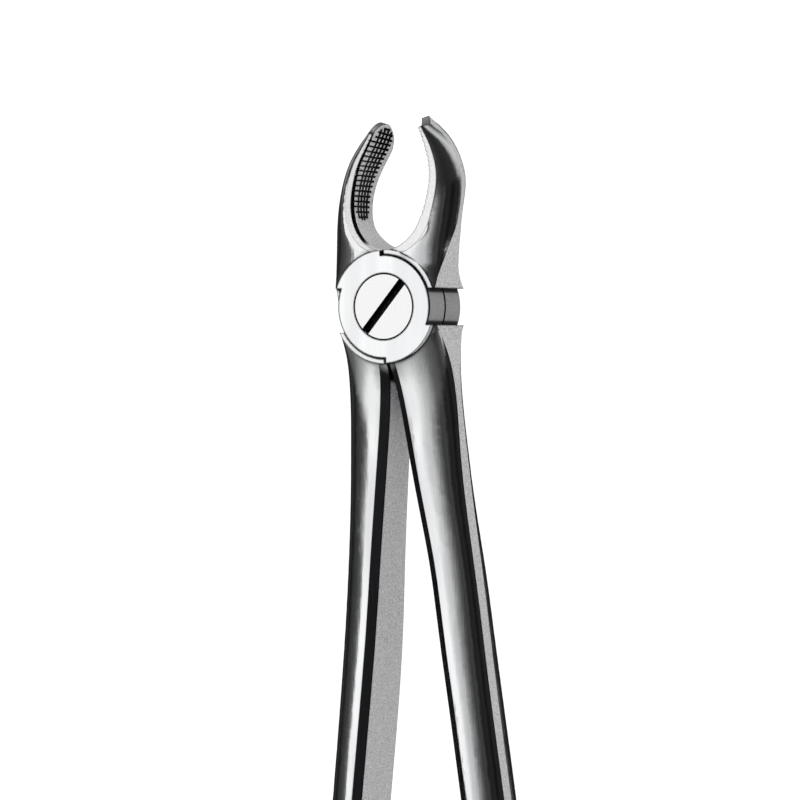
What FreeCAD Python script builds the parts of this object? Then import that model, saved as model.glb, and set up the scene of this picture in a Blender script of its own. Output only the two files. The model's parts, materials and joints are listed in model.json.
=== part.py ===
import FreeCAD, Part
import math
import os

import Sketcher

from FreeCAD import Placement, Rotation, Vector

# Tooth extraction forceps with a screw lap joint.
#
# Two forged halves cross at the joint. Each half is one piece: a beak on one side, half of the
# joint's thickness, and the handle on the other side. A slotted screw goes through both: it
# turns in the front half and is threaded into the rear half.
#
# +Z runs along the tool to the beaks, +X is the side on which the pointed beak stands, and +Y
# points to the rear. The halves are modelled about the middle plane of the joint and are then
# placed so that the origin lies on the screw's axis, in the flat rear face of the joint.

doc = FreeCAD.newDocument("forceps")


# ---- Driving dimensions, in millimetres and degrees ------------------------------------------

SIZES = [
    ("joint_radius", 8.65),
    ("joint_thickness", 11.2),
    ("running_gap", 0.1),
    ("face_gap", 0.04),
    ("shoulder_height", 3.05),
    ("shoulder_width", 9.4),
    ("left_shoulder_height", 4.3),
    ("web_height", 0.7),
    ("web_depth", 4.5),
    ("land_width", 0.85),
    ("land_depth", 0.25),
    ("pad_radius", 9.4),
    ("pad_depth", 0.9),
    ("crossing_height", 9.3),
    ("head_radius", 5.55),
    ("head_depth", 3.4),
    ("shank_radius", 3.1),
    ("screw_gap", 0.05),
    ("slot_width", 1.45),
    ("slot_depth", 1.5),
    ("slot_angle", 50.0),
    ("edge_break", 0.2),
    ("palatal_bevel", 1.35),
    ("palatal_rise", 0.4),
    ("palatal_rim", 0.55),
    ("palatal_radius", 2.6),
    ("palatal_centre_height", 28.05),
    ("palatal_split", 0.7),
    ("buccal_bevel", 2.3),
    ("buccal_rise", 0.75),
    ("buccal_rim", 0.12),
    ("buccal_width", 7.5),
    ("buccal_chord_height", 28.75),
    ("buccal_split", -0.1),
    ("spur_height", 3.0),
    ("spur_hollow", 0.45),
    ("handle_bevel", 1.45),
    ("handle_rise", 0.8),
    ("handle_rim", 0.12),
    ("beak_rear_bevel", 0.45),
    ("handle_rear_bevel", 0.7),
    ("column_depth", 0.4),
    ("row_depth", 0.32),
    ("groove_lip", 0.3),
    ("rim_width", 0.55),
    ("notch_reach", 0.25),
    ("row_pitch", 0.87),
    ("columns", 5),
    ("field_length", 15.0),
    ("palatal_field_low", 3.4),
    ("palatal_field_high", 4.0),
    ("buccal_field_low", 3.2),
    ("buccal_field_high", 5.6),
    ("buccal_rows_past", 0.2),
    ("grip_top", 86.0),
    ("grip_bottom", 130.0),
    ("grip_pitch", 1.8),
    ("grip_groove", 0.6),
    ("grip_depth", 0.3),
    ("right_crotch", 0.45),
    ("left_crotch", 0.0),
]

sheet = doc.addObject("Spreadsheet::Sheet", "Sizes")
for row, (name, value) in enumerate(SIZES, start=1):
    sheet.set("A%d" % row, name)
    sheet.set("B%d" % row, str(value))
    sheet.setAlias("B%d" % row, name)
doc.recompute()


def size(name):
    """A driving dimension, read back from the sheet."""
    return float(getattr(sheet, name))


half_thickness = size("joint_thickness") / 2
clear = 40.0  # longer than any piece is deep or wide, for tools that cut right through


# ---- Sections of a forged limb ---------------------------------------------------------------
# A limb (beak or handle) is lofted through sections. Each section stands on a line from the
# limb's inner face to its outer ridge, and has seven edges: the flat inner face, the narrow
# rim and the wide bevel along its front edge, the rounded front, the narrow flat of the outer
# ridge, the rounded back and a small bevel along the rear edge.

class Station:
    """One section. Widths count outward from the tool's middle plane, depths to the rear."""

    def __init__(self, inner, outer, toe, face, ridge, fullness):
        self.inner_height, self.inner_width = inner
        self.outer_height, self.outer_width = outer
        self.toe = toe
        self.face_front, self.face_rear = face
        self.ridge_front, self.ridge_rear = ridge
        self.front, self.rear = fullness

    def inner_point(self):
        return Vector(self.inner_width, 0, self.inner_height)

    def outer_point(self):
        return Vector(self.outer_width, 0, self.outer_height)

    def outward(self):
        return (self.outer_point() - self.inner_point()).normalize()

    def width(self):
        return (self.outer_point() - self.inner_point()).Length

    def at(self, distance, depth, side):
        """The point this far out from the inner face's front edge, on the limb's own side."""
        point = self.inner_point() + self.outward() * distance
        return Vector(side * point.x, depth, point.z)

    def face_front_point(self, side):
        return self.at(0, self.face_front, side)

    def face_rear_point(self, side):
        return self.at(-self.toe, self.face_rear, side)


def bezier(poles):
    curve = Part.BezierCurve()
    curve.setPoles(poles)
    return curve.toShape()


def section(station, side, family, rear_bevel):
    """The closed outline of one station, on the side of +X (side 1) or of -X (side -1)."""
    s = station
    bevel = size(family + "_bevel")
    width = s.width()
    bevel_reach = min(bevel, 0.4 * width)
    bevel_rise = size(family + "_rise") * bevel_reach / bevel
    rim = size(family + "_rim") * bevel_reach / bevel
    rear_reach = min(rear_bevel, 0.3 * width)
    face_front = s.at(0, s.face_front + rim, side)
    bevel_start = s.at(0.8 * rim, s.face_front, side)
    bevel_top = s.at(bevel_reach, s.face_front - bevel_rise, side)
    ridge_front = s.at(width, s.ridge_front, side)
    ridge_rear = s.at(width, s.ridge_rear, side)
    bevel_rear = s.at(rear_reach - s.toe, s.face_rear + 0.7 * rear_reach, side)
    face_rear = s.face_rear_point(side)
    span = width - bevel_reach
    shoulder_out = width - 0.04 * span
    flank_in = bevel_reach + 0.3 * span
    front_curve = bezier([
        bevel_top,
        s.at(flank_in, s.front, side),
        s.at(shoulder_out, s.front + 0.25 * (s.ridge_front - s.front), side),
        ridge_front,
    ])
    rear_curve = bezier([
        ridge_rear,
        s.at(shoulder_out, s.rear - 0.25 * (s.rear - s.ridge_rear), side),
        s.at(flank_in - s.toe, s.rear, side),
        bevel_rear,
    ])
    return Part.Wire([
        Part.makeLine(face_front, bevel_start),
        Part.makeLine(bevel_start, bevel_top),
        front_curve,
        Part.makeLine(ridge_front, ridge_rear),
        rear_curve,
        Part.makeLine(bevel_rear, face_rear),
        Part.makeLine(face_rear, face_front),
    ])


def limb(stations, side, family, rear_bevel):
    """A beak or a handle: the straight root in the joint, and the smooth limb beyond it."""
    wires = [section(s, side, family, rear_bevel) for s in stations]
    root = Part.makeLoft(wires[:2], True, True)
    return root.fuse(Part.makeLoft(wires[1:], True, False))


# ---- Outlines of the limbs -------------------------------------------------------------------
# Each station: (height, width) of the inner face, (height, width) of the outer ridge, toe-in of
# the inner face's rear edge, depths of the face's two edges, of the ridge's two edges, and the
# depths to which the front and the back are drawn out.

FULL = half_thickness
CROSSING = size("crossing_height")
SHOULDER = size("shoulder_height")
BLOCK = size("shoulder_width")

palatal_beak = [
    Station((SHOULDER, 0.0), (SHOULDER, 9.6), 0.0, (-4.9, 5.1), (-4.6, FULL), (-FULL, FULL)),
    Station((CROSSING, 0.0), (3.9, 9.65), 0.0, (-4.9, 5.1), (-4.4, 4.9), (-FULL, FULL)),
    Station((9.50, 0.9), (5.9, 9.95), 0.0, (-4.85, 4.5), (-3.6, 3.1), (-FULL, 4.9)),
    Station((10.1, 2.9), (8.4, 10.3), 0.3, (-4.75, 2.8), (-2.6, 2.2), (-5.5, 3.6)),
    Station((11.6, 4.75), (10.9, 10.6), 0.45, (-4.4, 1.9), (-1.6, 1.5), (-5.2, 2.6)),
    Station((13.4, 6.05), (13.3, 10.7), 0.65, (-3.9, 1.5), (-1.0, 1.1), (-4.7, 2.1)),
    Station((16.0, 6.95), (16.2, 10.6), 1.0, (-3.35, 1.65), (-0.6, 1.1), (-4.0, 2.2)),
    Station((19.3, 7.15), (19.7, 10.15), 1.2, (-2.75, 2.35), (-0.4, 1.5), (-3.3, 2.9)),
    Station((22.8, 6.75), (23.2, 9.3), 1.75, (-2.05, 3.0), (-0.2, 1.9), (-2.5, 3.5)),
    Station((25.4, 5.85), (26.0, 8.0), 2.0, (-1.6, 3.4), (0.1, 2.3), (-1.9, 3.8)),
    Station((27.9, 4.75), (28.6, 6.2), 1.9, (-1.2, 3.9), (0.5, 2.6), (-1.4, 4.2)),
    Station((30.2, 3.95), (30.7, 4.65), 1.8, (-0.8, 4.3), (0.9, 2.9), (-1.0, 4.5)),
    Station((32.0, 3.35), (32.4, 3.85), 1.7, (-0.5, 4.7), (1.2, 3.2), (-0.6, 4.9)),
]

buccal_beak = [
    Station((SHOULDER, -0.1), (SHOULDER, BLOCK), 0.0, (-4.9, 5.1), (-5.2, 5.2), (-FULL, FULL)),
    Station((CROSSING, -0.1), (3.9, 9.45), 0.0, (-4.9, 5.1), (-4.8, 4.3), (-FULL, FULL)),
    Station((9.55, 0.7), (5.8, 9.6), 0.0, (-4.85, 4.5), (-3.9, 3.0), (-FULL, 4.9)),
    Station((10.3, 2.7), (8.3, 10.0), 0.3, (-4.75, 2.9), (-2.6, 2.2), (-5.5, 3.6)),
    Station((11.8, 4.4), (10.9, 10.6), 0.45, (-4.4, 2.1), (-1.7, 1.4), (-5.2, 2.8)),
    Station((13.8, 5.5), (13.6, 11.1), 0.65, (-3.9, 1.8), (-0.6, 0.9), (-4.7, 2.4)),
    Station((16.4, 6.35), (16.6, 11.4), 0.9, (-3.55, 2.0), (0.0, 1.0), (-4.1, 2.6)),
    Station((19.6, 6.9), (19.9, 11.5), 1.1, (-3.05, 2.8), (0.5, 1.7), (-3.5, 3.3)),
    Station((23.0, 6.85), (23.3, 10.85), 1.35, (-2.6, 3.6), (0.9, 2.2), (-3.0, 4.1)),
    Station((25.6, 6.25), (26.0, 9.65), 1.5, (-2.4, 4.2), (1.1, 2.4), (-2.8, 4.6)),
    Station((28.0, 5.4), (28.6, 7.8), 1.6, (-2.3, 4.9), (1.2, 2.5), (-2.6, 5.3)),
    Station((30.2, 4.55), (30.8, 5.35), 1.7, (-2.2, 5.6), (1.3, 2.7), (-2.4, 5.9)),
    Station((32.4, 3.7), (32.8, 4.2), 1.8, (-2.1, 6.2), (1.5, 3.0), (-2.2, 6.4)),
]


def handle_stations(crotch):
    """A handle's sections. Its inner face starts this far out from the middle plane."""
    return [
        Station((-SHOULDER, crotch), (-SHOULDER, BLOCK), 0.0, (-4.6, 5.0), (-4.4, 5.2), (-FULL, FULL)),
        Station((-CROSSING, crotch), (-4.0, 9.4), 0.0, (-4.6, 5.0), (-3.6, 4.6), (-FULL, FULL)),
        Station((-10.6, crotch), (-7.3, 9.5), 0.0, (-3.7, 5.3), (-0.9, 3.9), (-5.0, 6.2)),
        Station((-14.3, 0.65), (-12.8, 9.75), 0.0, (-2.0, 5.9), (1.3, 3.5), (-3.6, 7.0)),
        Station((-23.4, 1.84), (-22.6, 10.15), 0.0, (-0.6, 7.2), (2.4, 4.7), (-1.9, 8.6)),
        Station((-32.5, 3.14), (-32.0, 10.7), 0.0, (0.5, 8.8), (3.3, 6.0), (-0.7, 10.5)),
        Station((-43.3, 4.7), (-43.0, 11.75), 0.0, (1.9, 10.9), (4.5, 7.2), (0.8, 12.8)),
        Station((-54.2, 5.9), (-54.0, 12.85), 0.0, (2.7, 12.5), (5.4, 8.0), (1.6, 14.3)),
        Station((-64.0, 7.1), (-64.0, 13.9), 0.0, (3.3, 13.6), (6.0, 8.6), (2.1, 15.3)),
        Station((-80.0, 9.1), (-80.0, 15.8), 0.0, (4.1, 14.6), (7.0, 9.5), (2.9, 16.3)),
        Station((-97.0, 11.1), (-97.0, 17.8), 0.0, (4.8, 15.3), (7.8, 10.3), (3.6, 17.0)),
        Station((-114.0, 12.8), (-114.0, 19.7), 0.0, (5.2, 15.6), (8.2, 10.7), (4.0, 17.3)),
        Station((-128.0, 13.8), (-128.0, 20.6), 0.0, (5.4, 15.5), (8.3, 10.7), (4.2, 17.1)),
        Station((-137.0, 14.3), (-137.0, 20.7), 0.0, (6.0, 14.9), (8.5, 10.6), (4.8, 16.4)),
        Station((-142.0, 15.6), (-142.0, 19.6), 0.0, (7.8, 13.2), (9.2, 10.6), (6.6, 14.2)),
    ]


# ---- The grip --------------------------------------------------------------------------------
# Shallow grooves run round the handles' lower stretch, except on the inner face.

GRIP_STATION = 8    # the handle's sections from this one down hold the grip
FACE_COVER = 2.0    # how far the core stands out of the inner face, which stays smooth


def grip_core(crotch, side):
    """A slimmer handle, which the grip's grooves leave whole. It covers the inner face."""
    depth = size("grip_depth")
    stations = []
    for s in handle_stations(crotch)[GRIP_STATION:]:
        stations.append(Station(
            (s.inner_height, s.inner_width - FACE_COVER), (s.outer_height, s.outer_width - depth),
            s.toe, (s.face_front, s.face_rear), (s.ridge_front, s.ridge_rear),
            (s.front + depth, s.rear - depth)))
    wires = [section(s, side, "handle", size("handle_rear_bevel")) for s in stations]
    return Part.makeLoft(wires, True, False)


def grip_grooves(crotch, side):
    """The metal that the grip's grooves take away."""
    groove = size("grip_groove")
    core = grip_core(crotch, side)
    count = int((size("grip_bottom") - size("grip_top")) / size("grip_pitch"))
    slabs = []
    for i in range(count):
        height = -size("grip_top") - i * size("grip_pitch")
        slab = Part.makeBox(clear, 2 * clear, groove, Vector(0, -clear, height))
        if side < 0:
            slab.translate(Vector(-clear, 0, 0))
        slabs.append(slab.cut(core))
    return Part.makeCompound(slabs)


# ---- The beaks' inner faces ------------------------------------------------------------------

class Face:
    """The inner face of a beak, ruled between its front and its rear edge."""

    def __init__(self, stations, side):
        self.side = side
        self.front_edge = self.spline([s.face_front_point(side) for s in stations])
        self.rear_edge = self.spline([s.face_rear_point(side) for s in stations])

    @staticmethod
    def spline(points):
        curve = Part.BSplineCurve()
        curve.interpolate(points, Parameters=[float(i) for i in range(len(points))])
        return curve

    def edges(self, place):
        return self.front_edge.value(place), self.rear_edge.value(place)

    def middle(self, place):
        front, rear = self.edges(place)
        return (front + rear) * 0.5

    def place_at_height(self, height):
        """Where along the beak the middle of the face is at this height."""
        low, high = 2.0, float(self.front_edge.LastParameter)
        for _ in range(40):
            place = (low + high) / 2
            if self.middle(place).z < height:
                low = place
            else:
                high = place
        return low

    def step_along(self, place, distance):
        """The place this far along the face's middle line (towards the tip if positive)."""
        slope = (self.middle(place + 0.01) - self.middle(place - 0.01)).Length / 0.02
        return place + distance / slope

    def frame(self, place):
        """Unit vectors across the face to the rear, along it to the tip, and into the metal."""
        front, rear = self.edges(place)
        along = (self.middle(place + 0.05) - self.middle(place - 0.05)).normalize()
        across = rear - front
        across = (across - along * across.dot(along)).normalize()
        inward = along.cross(across) * -self.side
        return across, along, inward.normalize()

    def point(self, place, offset):
        """The point of the face this far to the rear of its middle line."""
        front, rear = self.edges(place)
        return self.middle(place) + (rear - front).normalize() * offset


def tip_cutter(face, place, outline):
    """The metal beyond a beak's end. The outline is given across and along the face."""
    across, along, inward = face.frame(place)
    centre = face.middle(place)

    def world(point):
        return centre + across * point[0] + along * point[1] - inward * clear

    edges = []
    reach = 12.0
    path = [[(-reach, outline[0][0][1]), outline[0][0]]] + outline
    path += [[outline[-1][-1], (reach, outline[-1][-1][1])],
             [(reach, outline[-1][-1][1]), (reach, reach)],
             [(reach, reach), (-reach, reach)],
             [(-reach, reach), (-reach, outline[0][0][1])]]
    for stretch in path:
        points = [world(p) for p in stretch]
        if len(points) == 3:
            edges.append(Part.Arc(*points).toShape())
        else:
            edges.append(Part.makeLine(*points))
    return Part.Face(Part.Wire(edges)).extrude(inward * 2 * clear)


def palatal_tip(face):
    """A round end, which falls away a little towards the rear."""
    radius = size("palatal_radius")
    place = face.place_at_height(size("palatal_centre_height"))
    front = [(-radius, 0), (-0.7 * radius, 0.7 * radius), (0, radius)]
    rear = [(0, radius), (0.65 * radius, 0.55 * radius), (radius, -0.3 * radius)]
    return tip_cutter(face, place, [front, rear])


def buccal_tip(face):
    """Two corners and a spur between them, with hollow flanks."""
    half_width = size("buccal_width") / 2
    spur = size("spur_height")
    hollow = size("spur_hollow")
    place = face.place_at_height(size("buccal_chord_height"))
    middle = (half_width / 2 - 0.6 * hollow, spur / 2 - hollow)
    left = [(-half_width, 0), (-middle[0], middle[1]), (0, spur)]
    right = [(0, spur), middle, (half_width, 0)]
    return tip_cutter(face, place, [left, right])


GROOVE_SLOPE = 0.62  # a groove's half width over its depth


def groove_section(point, sideways, inward, depth):
    """The V of a groove: its bottom is inside the metal and its mouth stands proud of it."""
    lip = size("groove_lip")
    bottom = point + inward * depth
    mouth = point - inward * lip
    spread = sideways * (depth + lip) * GROOVE_SLOPE
    return Part.makePolygon([bottom, mouth + spread, mouth - spread, bottom])


def cross_groove(face, place, start, end):
    """A groove across the face, from one offset to another."""
    inward = face.frame(place)[2]
    direction = (face.point(place, end) - face.point(place, start)).normalize()
    sideways = direction.cross(inward).normalize()
    outline = groove_section(face.point(place, start), sideways, inward, size("row_depth"))
    return Part.Face(outline).extrude(direction * (end - start))


def long_groove(face, first, last, offset_of):
    """A groove along the face, at an offset that may change on the way."""
    wires = []
    steps = 7
    depth = size("column_depth")
    for i in range(steps):
        place = first + (last - first) * i / (steps - 1)
        across, _, inward = face.frame(place)
        wires.append(groove_section(face.point(place, offset_of(place)), across, inward, depth))
    return Part.makeLoft(wires, True, False)


FIRST_ROW = 0.6     # height of the lowest cross groove over the field's end, in pitches
SHORTEST_ROW = 0.4  # half the length that a cross groove must have to be worth cutting


def serrations(face, name, top, round_top):
    """The grooves of a beak's field of teeth, which ends in a half circle below."""
    pitch = size("row_pitch")
    low_width = size(name + "_field_low")
    high_width = size(name + "_field_high")
    columns = int(size("columns"))
    bottom = face.step_along(top, -0.5 * size("field_length"))
    bottom = face.step_along(bottom, -0.5 * size("field_length"))

    def half_field(place):
        part = (place - bottom) / (top - bottom)
        return (low_width + (high_width - low_width) * part) / 2

    long_grooves = []
    for j in range(1, columns):
        share = 2.0 * j / columns - 1
        bow = 1 - math.sqrt(1 - share * share)
        first = face.step_along(bottom, bow * low_width / 2)
        last = top
        if round_top:
            last = face.step_along(top, -bow * high_width / 2)
        groove = long_groove(face, first, last, lambda place: share * half_field(place))
        long_grooves.append(groove)
    cross_grooves = []
    risen = FIRST_ROW * pitch
    place = face.step_along(bottom, risen)
    while place < top:
        half = half_field(place)
        front, rear = face.edges(place)
        notch = -(rear - front).Length / 2 - size("notch_reach")
        if risen < half:
            half = math.sqrt(half * half - (half - risen) ** 2)
            notch = -half
        left_over = (face.middle(top) - face.middle(place)).Length
        if round_top and left_over < half:
            half = math.sqrt(half * half - (half - left_over) ** 2)
            notch = -half
        if half > SHORTEST_ROW:
            cross_grooves.append(cross_groove(face, place, notch, half))
        place = face.step_along(place, pitch)
        risen += pitch
    return long_grooves, cross_grooves


# ---- Document objects ------------------------------------------------------------------------

def feature(label, shape):
    made = doc.addObject("Part::Feature", label)
    made.Shape = shape
    made.Label = label
    return made


def cylinder(label, radius, start, length):
    """A cylinder about the screw's axis. Radius, start and length are expressions."""
    made = doc.addObject("Part::Cylinder", label)
    made.Placement = Placement(Vector(0, 0, 0), Rotation(Vector(1, 0, 0), -90))
    made.setExpression("Radius", radius)
    made.setExpression("Height", length)
    made.setExpression(".Placement.Base.y", start)
    return made


def cone(label, front_radius, rear_radius, start):
    """The broken edge of a disc about the screw's axis. Radii and start are expressions."""
    made = doc.addObject("Part::Cone", label)
    made.Placement = Placement(Vector(0, 0, 0), Rotation(Vector(1, 0, 0), -90))
    made.setExpression("Radius1", front_radius)
    made.setExpression("Radius2", rear_radius)
    made.setExpression("Height", "Sizes.edge_break")
    made.setExpression(".Placement.Base.y", start)
    return made


def fuse(label, shapes):
    made = doc.addObject("Part::MultiFuse", label)
    made.Shapes = shapes
    made.Refine = True
    return made


def cut(label, base, tool):
    made = doc.addObject("Part::Cut", label)
    made.Base = base
    made.Tool = tool
    return made


def split_tool(side, inner, upper):
    """Everything on the far side of the plane in which a limb meets the other half."""
    bottom = 0 if upper else -clear
    box = Part.makeBox(clear, 2 * clear, clear, Vector(-clear, -clear, bottom))
    box.translate(Vector(inner, 0, 0))
    if side < 0:
        box = box.mirror(Vector(0, 0, 0), Vector(1, 0, 0))
    return box


LAND_RADIUS = "Sizes.joint_radius + Sizes.land_width"
LAND_START = {
    -1: "Sizes.land_depth - 1.5 * Sizes.joint_thickness",
    1: "Sizes.joint_thickness / 2 - Sizes.land_depth",
}


def land(label, facing):
    """The shallow flat step round the recess for the other half's disc. It faces -Y or +Y."""
    return cylinder(label, LAND_RADIUS, LAND_START[facing], "Sizes.joint_thickness")


def pad(facing, radius, region):
    """A flat face of the joint, carried a little way onto one of the half's limbs."""
    depth = size("pad_depth")
    start = Vector(0, facing * (half_thickness - depth), 0)
    disc = Part.makeCylinder(radius, depth, start, Vector(0, facing, 0))
    return disc.common(region)


def limb_region(side, inner, upper):
    """The quarter of the joint that a limb grows from, just inside its shoulder."""
    bottom = size("shoulder_height") if upper else -clear
    height = clear - size("shoulder_height")
    outer = size("shoulder_width") - size("running_gap")
    box = Part.makeBox(outer - inner, 2 * clear, height,
                       Vector(inner, -clear, bottom))
    if side < 0:
        box = box.mirror(Vector(0, 0, 0), Vector(1, 0, 0))
    return box


def left_shoulder():
    """The metal over the left handle's shoulder, which is lower than the others."""
    bottom = -size("left_shoulder_height")
    return Part.makeBox(clear, 2 * clear, -bottom, Vector(-clear, -clear, bottom))


def root_web():
    """Carries the outer edge of the left beak down onto the front half's disc."""
    outer = 0.05 - palatal_beak[0].outer_width
    inner = 1 - size("joint_radius")
    low = size("web_height")
    high = size("shoulder_height") + 0.15
    corners = [(outer, high), (outer + 0.5, low), (inner, low), (inner, high), (outer, high)]
    outline = Part.makePolygon([Vector(x, -size("web_depth"), z) for x, z in corners])
    depth = size("web_depth") - size("running_gap")
    return Part.Face(outline).extrude(Vector(0, depth, 0))


def beak_piece(name, stations, side, split, tip, teeth):
    """A beak: its limb, cut at the middle plane, given its end and its teeth."""
    blank = limb(stations, side, name, size("beak_rear_bevel"))
    made = cut(name + "_blank", feature(name + "_limb", blank),
               feature(name + "_middle", split_tool(side, split, True)))
    made = cut(name + "_ended", made, feature(name + "_end", tip))
    for number, grooves in enumerate(teeth, start=1):
        tool = feature("%s_grooves_%d" % (name, number), Part.makeCompound(grooves))
        made = cut("%s_cut_%d" % (name, number), made, tool)
    return made


def forging(name, side, beak, beak_split, crotch, facing):
    """Both limbs of a half, as one solid without its disc. The disc faces -Y or +Y."""
    blank = limb(handle_stations(crotch), -side, "handle", size("handle_rear_bevel"))
    grooves = feature(name + "_grip", grip_grooves(crotch, -side))
    handle = cut(name + "_gripped", feature(name + "_handle", blank), grooves)
    land_radius = size("joint_radius") + size("land_width")
    flats = []
    for region in (limb_region(side, beak_split, True), limb_region(-side, crotch, False)):
        flats.append(pad(facing, size("pad_radius"), region))
        flats.append(pad(-facing, land_radius, region))
    pads = feature(name + "_pads", Part.makeCompound(flats))
    limbs = fuse(name + "_limbs", [beak, handle, pads])
    return cut(name + "_stepped", limbs, land(name + "_land", -facing))


RIM_RADIUS = "Sizes.joint_radius - Sizes.edge_break"
CORE_LENGTH = "(Sizes.joint_thickness - Sizes.face_gap) / 2 - 2 * Sizes.edge_break"
RECESS_RADIUS = "Sizes.joint_radius + Sizes.running_gap"


def disc(name, front_face):
    """A half's disc, with both of its rims broken. Its front face's depth is an expression."""
    core_start = front_face + " + Sizes.edge_break"
    core_end = core_start + " + " + CORE_LENGTH
    front_rim = cone(name + "_front_rim", RIM_RADIUS, "Sizes.joint_radius", front_face)
    core = cylinder(name + "_core", "Sizes.joint_radius", core_start, CORE_LENGTH)
    rear_rim = cone(name + "_rear_rim", "Sizes.joint_radius", RIM_RADIUS, core_end)
    return [front_rim, core, rear_rim]


def make_front_half():
    face = Face(palatal_beak[1:], -1)
    top = face.step_along(face.place_at_height(size("palatal_centre_height")),
                          size("palatal_radius") - size("rim_width"))
    teeth = serrations(face, "palatal", top, True)
    beak = beak_piece("palatal", palatal_beak, -1, size("palatal_split"), palatal_tip(face), teeth)
    limbs = forging("front", -1, beak, size("palatal_split"), size("right_crotch"), -1)
    recess = cylinder("front_recess", RECESS_RADIUS, "-Sizes.face_gap / 2",
                      "Sizes.joint_thickness")
    parts = disc("front_disc", "-Sizes.joint_thickness / 2")
    parts.append(feature("front_web", root_web()))
    whole = fuse("front_whole", [cut("front_open", limbs, recess)] + parts)
    bore = cylinder("front_bore", "Sizes.shank_radius + Sizes.screw_gap",
                    "-Sizes.joint_thickness", "2 * Sizes.joint_thickness")
    seat = cylinder("head_seat", "Sizes.head_radius + Sizes.screw_gap", "-Sizes.joint_thickness",
                    "Sizes.joint_thickness / 2 + Sizes.head_depth + Sizes.face_gap")
    return cut("front_half", whole, fuse("screw_way", [bore, seat]))


def make_rear_half():
    face = Face(buccal_beak[1:], 1)
    top = face.step_along(face.place_at_height(size("buccal_chord_height")), size("buccal_rows_past"))
    teeth = serrations(face, "buccal", top, False)
    beak = beak_piece("buccal", buccal_beak, 1, size("buccal_split"), buccal_tip(face), teeth)
    limbs = forging("rear", 1, beak, size("buccal_split"), size("left_crotch"), 1)
    limbs = cut("rear_shouldered", limbs, feature("left_shoulder", left_shoulder()))
    recess = cylinder("rear_recess", RECESS_RADIUS, "Sizes.face_gap / 2 - Sizes.joint_thickness",
                      "Sizes.joint_thickness")
    parts = disc("rear_disc", "Sizes.face_gap / 2")
    whole = fuse("rear_whole", [cut("rear_open", limbs, recess)] + parts)
    bore = cylinder("thread_bore", "Sizes.shank_radius", "-Sizes.joint_thickness",
                    "2 * Sizes.joint_thickness")
    return cut("rear_half", whole, bore)


# ---- The screw -------------------------------------------------------------------------------

def origin_plane(body, role):
    for item in body.Origin.OriginFeatures:
        if item.Role == role:
            return item
    raise ValueError(role)


def sketch_on(body, name, role):
    sketch = body.newObject("Sketcher::SketchObject", name)
    sketch.AttachmentSupport = (origin_plane(body, role), "")
    sketch.MapMode = "FlatFace"
    return sketch


def value_of(expression):
    return float(sheet.evalExpression(expression))


def place_corner(sketch, line, axis, value, expression):
    """Ties the start of a line to the sketch's origin along one axis ("X" or "Y")."""
    constraint = Sketcher.Constraint("Distance" + axis, -1, 1, line, 1, value)
    sketch.setExpression("Constraints[%d]" % sketch.addConstraint(constraint), expression)


def draw_outline(sketch, corners):
    """A closed outline. Each corner is a pair of expressions, "0" being on the axis."""
    points = [Vector(value_of(x), value_of(y), 0) for x, y in corners]
    count = len(points)
    for i in range(count):
        sketch.addGeometry(Part.LineSegment(points[i], points[(i + 1) % count]), False)
    for i in range(count):
        sketch.addConstraint(Sketcher.Constraint("Coincident", i, 2, (i + 1) % count, 1))
    for i, (x, y) in enumerate(corners):
        for axis, expression, value, line in (("X", x, points[i].x, -2), ("Y", y, points[i].y, -1)):
            if expression == "0":
                sketch.addConstraint(Sketcher.Constraint("PointOnObject", i, 1, line))
            else:
                place_corner(sketch, i, axis, value, expression)


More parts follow.
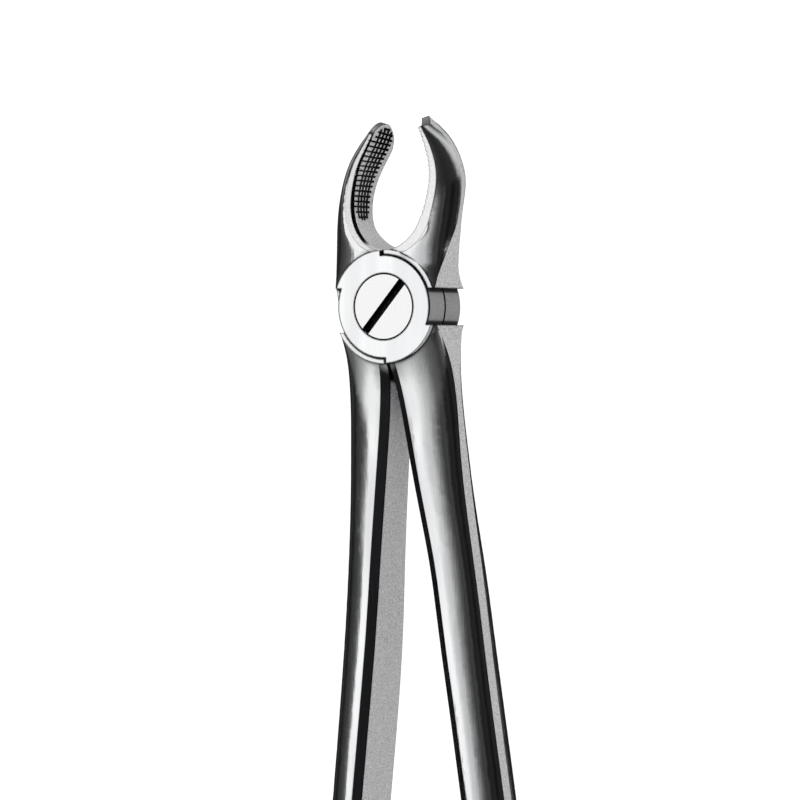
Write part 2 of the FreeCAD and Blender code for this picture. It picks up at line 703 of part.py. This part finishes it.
def make_screw():
    """Head, shank and slot, from the front face of the joint to its rear face."""
    body = doc.addObject("PartDesign::Body", "joint_screw")
    profile = sketch_on(body, "screw_profile", "XY_Plane")
    draw_outline(profile, [
        ("0", "0"),
        ("Sizes.head_radius - Sizes.edge_break", "0"),
        ("Sizes.head_radius", "Sizes.edge_break"),
        ("Sizes.head_radius", "Sizes.head_depth"),
        ("Sizes.shank_radius", "Sizes.head_depth"),
        ("Sizes.shank_radius", "Sizes.joint_thickness - Sizes.edge_break"),
        ("Sizes.shank_radius - Sizes.edge_break", "Sizes.joint_thickness"),
        ("0", "Sizes.joint_thickness"),
    ])
    turned = body.newObject("PartDesign::Revolution", "turned_screw")
    turned.Profile = profile
    turned.ReferenceAxis = (profile, ["V_Axis"])
    turned.Angle = 360.0
    doc.recompute()
    blank = body.Shape.Volume
    slot = sketch_on(body, "slot_outline", "XZ_Plane")
    slot.AttachmentOffset = Placement(Vector(), Rotation(Vector(0, 0, 1), size("slot_angle")))
    reach = size("head_radius") + 1
    half_slot = size("slot_width") / 2
    corners = [(-reach, -half_slot), (reach, -half_slot), (reach, half_slot), (-reach, half_slot)]
    for i in range(4):
        start = Vector(corners[i][0], corners[i][1], 0)
        end = Vector(corners[(i + 1) % 4][0], corners[(i + 1) % 4][1], 0)
        slot.addGeometry(Part.LineSegment(start, end), False)
    for i in range(4):
        slot.addConstraint(Sketcher.Constraint("Coincident", i, 2, (i + 1) % 4, 1))
    slot.addConstraint(Sketcher.Constraint("Horizontal", 0))
    slot.addConstraint(Sketcher.Constraint("Horizontal", 2))
    slot.addConstraint(Sketcher.Constraint("Vertical", 1))
    slot.addConstraint(Sketcher.Constraint("Vertical", 3))
    slot.addConstraint(Sketcher.Constraint("Symmetric", 0, 1, 2, 1, -1, 1))
    width = slot.addConstraint(Sketcher.Constraint("DistanceY", 1, 1, 1, 2, 2 * half_slot))
    slot.setExpression("Constraints[%d]" % width, "Sizes.slot_width")
    length = slot.addConstraint(Sketcher.Constraint("DistanceX", 0, 1, 0, 2, 2 * reach))
    slot.setExpression("Constraints[%d]" % length, "2 * Sizes.head_radius + 2")
    milled = body.newObject("PartDesign::Pocket", "driver_slot")
    milled.Profile = slot
    milled.setExpression("Length", "Sizes.slot_depth")
    doc.recompute()
    if blank - body.Shape.Volume < size("slot_width") * size("slot_depth") * size("head_radius"):
        raise ValueError("the slot misses the screw's head")
    body.setExpression(".Placement.Base.y", "-Sizes.joint_thickness")
    return body


# ---- Assembly and output ---------------------------------------------------------------------

front_half = make_front_half()
rear_half = make_rear_half()
for half in (front_half, rear_half):
    half.setExpression(".Placement.Base.y", "-Sizes.joint_thickness / 2")
joint_screw = make_screw()
sub_parts = [front_half, rear_half, joint_screw]
for part in sub_parts:
    part.Label = part.Name
doc.recompute()

for item in doc.Objects:
    if "Invalid" in item.State or "Error" in item.State:
        raise RuntimeError("%s failed: %s" % (item.Name, item.State))
for part in sub_parts:
    shape = part.Shape
    if shape.isNull() or not shape.isValid() or len(shape.Solids) != 1:
        raise RuntimeError(part.Label + " is not one valid solid")

os.makedirs("parts", exist_ok=True)
for part in sub_parts:
    shape = part.Shape
    shape.exportStep("parts/%s.step" % part.Label)
    print("%-12s %9.1f mm3  %3d faces" % (part.Label, shape.Volume, len(shape.Faces)))
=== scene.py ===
import json
import math

import bpy
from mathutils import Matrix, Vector


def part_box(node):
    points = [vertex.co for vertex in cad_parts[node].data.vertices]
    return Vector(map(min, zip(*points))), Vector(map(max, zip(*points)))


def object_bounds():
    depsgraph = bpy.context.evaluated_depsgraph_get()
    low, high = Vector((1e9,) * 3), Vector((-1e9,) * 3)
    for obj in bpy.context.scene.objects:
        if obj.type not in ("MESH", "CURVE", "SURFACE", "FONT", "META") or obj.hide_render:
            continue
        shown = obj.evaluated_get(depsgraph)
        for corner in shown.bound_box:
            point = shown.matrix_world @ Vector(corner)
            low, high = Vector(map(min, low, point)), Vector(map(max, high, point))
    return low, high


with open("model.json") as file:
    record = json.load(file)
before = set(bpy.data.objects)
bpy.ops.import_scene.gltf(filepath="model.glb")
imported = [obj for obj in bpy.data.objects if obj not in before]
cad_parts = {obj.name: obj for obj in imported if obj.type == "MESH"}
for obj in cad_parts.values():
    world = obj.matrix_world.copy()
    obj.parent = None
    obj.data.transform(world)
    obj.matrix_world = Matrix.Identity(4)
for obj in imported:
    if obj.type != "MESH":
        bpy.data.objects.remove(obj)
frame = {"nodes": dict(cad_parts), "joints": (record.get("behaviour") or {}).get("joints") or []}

cad_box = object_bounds()

MM = 0.001
LOW = Vector(cad_box[0])


# ---- Small helpers for node trees ------------------------------------------------------------

class Nodes:
    """Adds nodes to a tree and links them, one short call each."""

    def __init__(self, tree):
        self.tree = tree
        tree.nodes.clear()

    def add(self, kind, inputs=(), **settings):
        node = self.tree.nodes.new(kind)
        for name, value in settings.items():
            setattr(node, name, value)
        for key, value in dict(inputs).items():
            self.put(node.inputs[key], value)
        return node

    def put(self, socket, value):
        if isinstance(value, bpy.types.NodeSocket):
            self.tree.links.new(value, socket)
        else:
            socket.default_value = value

    def parts(self, vector):
        return self.add("ShaderNodeSeparateXYZ", {0: vector}).outputs

    def maths(self, operation, *values):
        node = self.add("ShaderNodeMath", operation=operation)
        for socket, value in zip(node.inputs, values):
            self.put(socket, value)
        return node.outputs[0]

    def product(self, first, second):
        return self.maths("MULTIPLY", first, second)

    def smooth(self, value, start, end, first=0.0, last=1.0):
        """Goes smoothly from first to last as the value goes from start to end, up or down."""
        node = self.add("ShaderNodeMapRange", interpolation_type="SMOOTHSTEP")
        for socket, item in zip(node.inputs, (value, start, end, first, last)):
            self.put(socket, item)
        return node.outputs[0]

    def mix(self, factor, first, second):
        """Mixes two colours."""
        node = self.add("ShaderNodeMix", {0: factor, 6: first, 7: second}, data_type="RGBA")
        return node.outputs[2]

    def blend(self, factor, first, second):
        """Mixes two numbers."""
        node = self.add("ShaderNodeMix", {0: factor, 2: first, 3: second}, data_type="FLOAT")
        return node.outputs[0]

    def noise(self, vector, scale, detail=3.0, roughness=0.5):
        node = self.add("ShaderNodeTexNoise", {
            "Vector": vector, "Scale": scale, "Detail": detail, "Roughness": roughness})
        return node.outputs["Fac"]

    def drawn_out(self, place, squeeze):
        """The place with its height squeezed, so that a noise there is long along the tool."""
        node = self.add("ShaderNodeMapping", {"Vector": place, "Scale": (1.0, 1.0, squeeze)})
        return node.outputs["Vector"]

    def bump(self, height, distance, strength):
        node = self.add("ShaderNodeBump", {
            "Height": height, "Distance": distance, "Strength": strength})
        return node.outputs[0]

    def surface(self, inputs):
        """The material's shader, with these inputs, and its output."""
        shader = self.add("ShaderNodeBsdfPrincipled", inputs)
        self.add("ShaderNodeOutputMaterial", {"Surface": shader.outputs[0]})


def new_material(name):
    material = bpy.data.materials.new(name)
    material.use_nodes = True
    return material, Nodes(material.node_tree)


# ---- Steel -----------------------------------------------------------------------------------

GAP_HEIGHT = 19 * MM        # the middle of the oval between the beaks, above the screw
LIMB_START = 9 * MM         # beaks and handles leave the joint this far above and below the screw
TEETH_START = 10 * MM       # the toothed fields lie above this height
WINDOW_HEIGHT = 3 * MM      # half the height of the openings at the joint's sides
CREASE_SHADE_REACH = 0.9 * MM       # the painted shade lies where another face is nearer than this
EDGE_SHADE_REACH = 0.35 * MM      # how far the painted dark line reaches from a sharp edge

MIRROR_ROUGHNESS = (0.07, 0.17)
SATIN_ROUGHNESS = (0.36, 0.50)

# The noises' scales, in spots to a metre.
GRAIN = 4200.0
SCRATCHES = 3000.0
TURNING = 9000.0
PATCHES = 300.0
CLOUDS = 90.0

# Colours. The two of a pair are mixed by the grain or by the patches.
MIRROR = (0.78, 0.79, 0.80, 1), (0.88, 0.885, 0.89, 1)
BLASTED = (0.42, 0.42, 0.425, 1), (0.86, 0.86, 0.865, 1)
STONED = (0.70, 0.70, 0.705, 1), (0.88, 0.88, 0.885, 1)
SCREW_FACE = (0.82, 0.82, 0.825, 1), (0.90, 0.90, 0.905, 1)
# painted shade for the screw's slot, the head below its face and its edge
SCREW_PAINTED_SHADE = (0.006, 0.006, 0.007, 1), (0.05, 0.05, 0.055, 1)
DEEP_SHADE = (0.14, 0.14, 0.145, 1)
# painted dark reflection for the handles' bevels and painted shade for the beaks' rims
PAINTED_DARK_BANDS = (0.05, 0.05, 0.055, 1)
# painted shade: a dark line along sharp edges
PAINTED_EDGE_SHADE = (0.04, 0.04, 0.045, 1)
# painted shade for grooves and seams, where other faces are near
PAINTED_CREASE_SHADE = (0.02, 0.021, 0.023, 1)


# A mask's limits are a pair: it is 0 at the first value and 1 at the second.
# These are of the normal's shares, each 1 where the face looks straight that way.
FACES_SIDE = (0.5, 0.44)            # by the share to the front or rear
FACES_STRAIGHT_OUT = (0.07, 0.04)   # by the share to the front or rear
FACES_OUT = (0.5, 0.6)              # by the share away from the middle
FRONT_BEVEL = (-0.72, -0.80)        # by the share to the rear, here and below
HANDLE_BEVEL = (-0.44, -0.52)
HANDLE_BEVEL_IN = (-0.28, -0.36)    # by the share away from the middle
RIM_START, RIM_END = (-0.46, -0.50), (-0.76, -0.72)
GROUND_FACE = (-0.985, -0.995)
# These are of how far a face looks into the gap between the halves.
LOOKS_IN = (0.1 * MM, 0.6 * MM)
LOOKS_WELL_IN = (0.0, 1.5 * MM)
# These are of how well the rounded normal agrees with the face's own.
PLAIN_EDGE, TOOTH_EDGE, BEVEL_EDGE = (0.994, 0.968), (0.95, 0.92), (0.998, 0.978)


def around(limit, spread):
    """A mask's limits, this spread before and after one limit."""
    return limit - spread, limit + spread


def finishes(n, place, normal):
    """Where each finish lies, as masks from 0 to 1. They go by a face's place and direction."""
    x, _, z = n.parts(place)
    nx, ny, nz = n.parts(normal)
    frontal = n.maths("ABSOLUTE", ny)
    outward = n.product(nx, n.maths("SIGN", x))

    # How far a face looks into the gap between the halves: its normal times the way to the gap's
    # middle, which is one point between the beaks and a line between the handles.
    above_screw = n.smooth(z, 0.0, 1 * MM)
    rise = n.product(n.maths("SUBTRACT", GAP_HEIGHT, z), above_screw)
    inward = n.maths("SUBTRACT", n.product(nz, rise), n.product(nx, x))
    turned_in = n.smooth(inward, *LOOKS_IN)

    # Satin: the inner faces, and the flats along the sides. The joint's side walls are among
    # these flats, in the windows between the shoulders.
    inner = n.product(n.smooth(inward, *LOOKS_WELL_IN), n.smooth(frontal, *FACES_SIDE))
    flat = n.product(n.smooth(outward, *FACES_OUT), n.smooth(frontal, *FACES_STRAIGHT_OUT))
    in_window = n.smooth(n.maths("ABSOLUTE", z), *around(WINDOW_HEIGHT, -0.1 * MM))
    wall = n.product(flat, in_window)

    # The front bevels along the inner edges: stoned bright on the beaks; on the handles a painted
    # dark reflection. The narrow rims between them and the inner faces get painted shade.
    beak_bevel = n.product(turned_in, n.smooth(ny, *FRONT_BEVEL))
    beak_bevel = n.product(beak_bevel, n.smooth(z, *around(LIMB_START, 0.5 * MM)))
    handle_bevel = n.product(n.smooth(outward, *HANDLE_BEVEL_IN), n.smooth(ny, *HANDLE_BEVEL))
    handle_bevel = n.product(handle_bevel, n.smooth(z, *around(-LIMB_START, -0.2 * MM)))
    rim = n.product(n.smooth(ny, *RIM_START), n.smooth(ny, *RIM_END))
    return {
        "satin": n.maths("MAXIMUM", inner, flat),
        "wall": wall,
        "toothed": n.product(inner, n.smooth(z, TEETH_START, TEETH_START + 1 * MM)),
        "stoned": beak_bevel,
        "painted_dark_bands": n.maths("MAXIMUM", handle_bevel, n.product(turned_in, rim)),
        "ground": n.smooth(ny, *GROUND_FACE),
    }


def painted_edge_shade(n, normal, mask):
    """Painted shade: a fine dark line on a sharp edge. It goes by how far the rounded normal is
    turned.
    """
    rounded = n.add("ShaderNodeBevel", {"Radius": EDGE_SHADE_REACH}, samples=6).outputs[0]
    turned = n.add("ShaderNodeVectorMath", {0: rounded, 1: normal}, operation="DOT_PRODUCT")
    limits = [n.blend(mask["stoned"], n.blend(mask["toothed"], plain, tooth), bevel)
              for plain, tooth, bevel in zip(PLAIN_EDGE, TOOTH_EDGE, BEVEL_EDGE)]
    return n.smooth(turned.outputs["Value"], *limits)


def steel(name):
    """Stainless steel: mirror polished outside, satin on its inner faces and side flats."""
    material, n = new_material(name)
    place = n.add("ShaderNodeTexCoord").outputs["Object"]
    normal = n.add("ShaderNodeNewGeometry").outputs["Normal"]
    mask = finishes(n, place, normal)
    rough_finish = n.maths("MAXIMUM", mask["satin"], mask["stoned"])

    scratches = n.noise(n.drawn_out(place, 0.04), SCRATCHES, 3.0, 0.6)
    patches = n.noise(n.drawn_out(place, 0.1), PATCHES, 2.0)
    grain = n.noise(place, GRAIN, 3.0, 0.7)
    clouds = n.noise(place, CLOUDS)

    # The polish is duller along the scratches and in the clouds.
    shine = n.smooth(scratches, 0.3, 0.75, *MIRROR_ROUGHNESS)
    shine = n.maths("ADD", shine, n.smooth(clouds, 0.45, 0.8, 0.0, 0.05))
    roughness = n.blend(rough_finish, shine, n.smooth(grain, 0.2, 0.8, *SATIN_ROUGHNESS))

    # Relief: scratches and some grain on the polish, scratches alone on the ground front face,
    # and grain alone on the satin.
    polished = n.maths("MULTIPLY_ADD", grain, n.blend(mask["ground"], 0.7, 0.0), scratches)
    relief = n.bump(n.blend(mask["satin"], polished, grain), 0.02 * MM, 0.6)

    mirror = n.mix(n.smooth(patches, 0.35, 0.7), *MIRROR)
    blasted = n.mix(n.smooth(grain, 0.35, 0.65), *BLASTED)
    blasted = n.mix(n.product(mask["wall"], 0.6), blasted, DEEP_SHADE)
    stoned = n.mix(n.smooth(grain, 0.3, 0.7), *STONED)
    colour = n.mix(mask["satin"], mirror, blasted)
    colour = n.mix(mask["stoned"], colour, stoned)
    # painted dark reflection on the handles' front bevels, painted shade on the narrow rims
    colour = n.mix(mask["painted_dark_bands"], colour, PAINTED_DARK_BANDS)
    # painted shade: a dark line along the sharp edges
    colour = n.mix(n.product(painted_edge_shade(n, normal, mask), 0.9), colour, PAINTED_EDGE_SHADE)

    # Painted shade: dark in the grooves and in the seams, where another face is near.
    shade = n.add("ShaderNodeAmbientOcclusion", {"Distance": CREASE_SHADE_REACH}, samples=16)
    colour = n.mix(n.smooth(shade.outputs["AO"], 0.78, 0.985), PAINTED_CREASE_SHADE, colour)

    n.surface({"Base Color": colour, "Roughness": roughness, "Normal": relief,
               "Metallic": n.blend(rough_finish, 1.0, 0.3)})
    return material


def screw_steel(name):
    """The screw: a ground face with fine turning marks, and painted shade in the slot."""
    material, n = new_material(name)
    low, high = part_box("joint_screw")
    place = n.add("ShaderNodeTexCoord").outputs["Object"]
    x, y, z = n.parts(place)
    radius = n.maths("SQRT", n.maths("ADD", n.product(x, x), n.product(z, z)))
    turning = n.noise(n.add("ShaderNodeCombineXYZ", {0: radius}).outputs[0], TURNING, 2.0)
    grain = n.noise(place, GRAIN)

    # Painted shade: the slot and the rest of the head below its face, and a painted dark line on
    # the broken edge round the face. The far end of the screw, in the rear half, is light like
    # the face.
    below_face = n.smooth(y, low.y + 0.12 * MM, low.y + 0.5 * MM)
    in_head = n.smooth(y, low.y + 3.2 * MM, low.y + 3.0 * MM)
    depth = n.product(below_face, in_head)
    broken_edge = n.smooth(radius, high.x - 0.25 * MM, high.x - 0.13 * MM)

    light = n.mix(n.smooth(grain, 0.3, 0.8), *SCREW_FACE)
    dark = n.mix(n.smooth(grain, 0.35, 0.7), *SCREW_PAINTED_SHADE)
    n.surface({"Base Color": n.mix(n.maths("MAXIMUM", depth, broken_edge), light, dark),
               "Roughness": n.blend(depth, n.smooth(turning, 0.2, 0.8, 0.1, 0.22), 0.6),
               "Normal": n.bump(turning, 0.002 * MM, 0.4),
               "Metallic": 1.0})
    return material


def dress(node, material):
    materials = frame["nodes"][node].data.materials
    materials.clear()
    materials.append(material)


dress("front_half", steel("front_steel_look"))
dress("rear_half", steel("rear_steel_look"))
dress("joint_screw", screw_steel("screw_steel_look"))


# ---- Studio ----------------------------------------------------------------------------------

# What the steel reflects: grey levels round the tool, in bands one over the other. Each stop is
# an angle in degrees from the front, to the right if positive, and a level.
MIDDLE_BAND = [
    # behind and on the left, nearly black, with faint ripples
    (-180, 0.01), (-165, 0.03), (-152, 0.008), (-136, 0.04), (-122, 0.01), (-106, 0.035),
    (-92, 0.006), (-74, 0.04), (-62, 0.05), (-52, 0.1), (-44, 0.13),
    # the white panel, then its fade to the right
    (-40, 1.0), (-18, 1.0), (-10, 0.72), (0, 0.6), (9, 0.55), (16, 0.3), (32, 0.1), (44, 0.04),
    (54, 0.06), (66, 0.012), (84, 0.022), (100, 0.005), (120, 0.02), (140, 0.01),
    # a narrow panel behind on the right, which lights the tool's right edges
    (147, 0.5), (157, 0.5), (164, 0.02), (180, 0.01)]
UPPER_BAND = [
    (-180, 0.05), (-130, 0.15), (-80, 0.3), (-60, 0.06), (-30, 0.05), (0, 0.04), (60, 0.02),
    (125, 0.03), (145, 0.5), (160, 0.6), (180, 0.05)]
LOWER_BAND = [
    (-180, 0.12), (-150, 0.3), (-120, 0.1), (-90, 0.12), (-66, 0.4), (-50, 0.85), (-15, 0.9),
    (10, 0.5), (40, 0.12), (80, 0.04), (110, 0.12), (122, 0.6), (150, 0.6), (165, 0.25),
    (180, 0.12)]
FLOOR_BAND = [
    (-180, 0.02), (-90, 0.05), (-50, 0.2), (-30, 0.35), (0, 0.3), (30, 0.12), (70, 0.02),
    (180, 0.02)]

SEEN_BY_CAMERA = (1, 1, 1, 1)
SEEN_BY_DULL_FACES = (0.9, 0.9, 0.9, 1)


def band(n, turn, stops):
    """One band of the room. Turn is the direction's angle from the front, in radians."""
    place = n.maths("MULTIPLY_ADD", turn, 1 / (2 * math.pi), 0.5)
    ramp = n.add("ShaderNodeValToRGB", {0: place})
    elements = ramp.color_ramp.elements
    while len(elements) < len(stops):
        elements.new(0.5)
    for element, (angle, level) in zip(elements, stops):
        element.position = (angle + 180) / 360
        element.color = (level, level, level, 1)
    return ramp.outputs[0]


def studio():
    """A white room to look at; for reflections, soft panels and dark flags around the tool."""
    world = bpy.data.worlds.new("studio")
    bpy.context.scene.world = world
    world.use_nodes = True
    n = Nodes(world.node_tree)
    x, y, up = n.parts(n.add("ShaderNodeTexCoord").outputs["Generated"])
    turn = n.maths("ARCTAN2", x, n.product(y, -1.0))
    room = band(n, turn, MIDDLE_BAND)
    room = n.mix(n.smooth(up, -0.16, -0.26), room, band(n, turn, LOWER_BAND))
    room = n.mix(n.smooth(up, 0.2, 0.34), room, band(n, turn, UPPER_BAND))
    room = n.mix(n.smooth(up, -0.5, -0.8), room, band(n, turn, FLOOR_BAND))
    path = n.add("ShaderNodeLightPath")
    room = n.mix(path.outputs["Is Camera Ray"], room, SEEN_BY_CAMERA)
    room = n.mix(path.outputs["Is Diffuse Ray"], room, SEEN_BY_DULL_FACES)
    background = n.add("ShaderNodeBackground", {"Color": room, "Strength": 1.1})
    n.add("ShaderNodeOutputWorld", {"Surface": background.outputs[0]})


FLOOR_SIDE = 1.4
FLOOR_GAP = 0.2 * MM        # between the floor and the handles' ends
PAPER = (0.86, 0.86, 0.86, 1), (0.9, 0.9, 0.9, 1)
PAPER_FIBRE = 900.0


def floor():
    """A square of white paper. The steel doesn't reflect it."""
    half, height = FLOOR_SIDE / 2, LOW.z - FLOOR_GAP
    corners = [(-half, -half, height), (half, -half, height), (half, half, height),
               (-half, half, height)]
    mesh = bpy.data.meshes.new("floor")
    mesh.from_pydata(corners, [], [(0, 1, 2, 3)])
    material, n = new_material("floor_paper")
    fibre = n.noise(n.add("ShaderNodeTexCoord").outputs["Object"], PAPER_FIBRE, 4.0)
    n.surface({"Base Color": n.mix(fibre, *PAPER), "Roughness": 0.8})
    mesh.materials.append(material)
    thing = bpy.data.objects.new("floor", mesh)
    thing.visible_glossy = False
    bpy.context.scene.collection.objects.link(thing)


def outwards(azimuth, elevation):
    """The direction away from the joint. Azimuth 0 is the front, and 90 is the right."""
    a, e = math.radians(azimuth), math.radians(elevation)
    return Vector((math.sin(a) * math.cos(e), -math.cos(a) * math.cos(e), math.sin(e)))


def stand(name, data, target, away, distance):
    """Puts a light or a camera at this distance from the target, looking back at it."""
    thing = bpy.data.objects.new(name, data)
    thing.location = target + away * distance
    thing.rotation_euler = away.to_track_quat("Z", "Y").to_euler()
    bpy.context.scene.collection.objects.link(thing)
    return thing


KEY_AZIMUTH, KEY_ELEVATION, KEY_DISTANCE = -28, 35, 0.6
KEY_SIDE, KEY_WATTS = 0.35, 2.0


def key_light():
    """A soft square light, high on the left. It shows in no reflection."""
    light = bpy.data.lights.new("key", "AREA")
    light.shape = "SQUARE"
    light.size = KEY_SIDE
    light.energy = KEY_WATTS
    lamp = stand("key", light, Vector(), outwards(KEY_AZIMUTH, KEY_ELEVATION), KEY_DISTANCE)
    lamp.visible_glossy = False


VIEW_AZIMUTH = 28
VIEW_WIDTH = 800 / 6 * MM           # 800 pixels at 6 to a millimetre
VIEW_RIGHT, VIEW_DOWN = 0.12 * MM, 15.5 * MM    # from the joint to the view's middle
LENS, SENSOR = 300.0, 36.0          # a long lens, both in millimetres


def camera():
    """Level, a little to the right, and far away, so that the view is nearly flat."""
    away = outwards(VIEW_AZIMUTH, 0)
    right = Vector((-away.y, away.x, 0))
    joint = Vector(frame["joints"][0]["pos_m"])
    target = joint + right * VIEW_RIGHT + Vector((0, 0, -VIEW_DOWN))
    data = bpy.data.cameras.new("camera")
    data.lens = LENS
    data.sensor_width = SENSOR
    data.clip_end = 20
    bpy.context.scene.camera = stand("camera", data, target, away, VIEW_WIDTH * LENS / SENSOR)


studio()
floor()
key_light()
camera()
bpy.context.scene.view_settings.view_transform = "Standard"
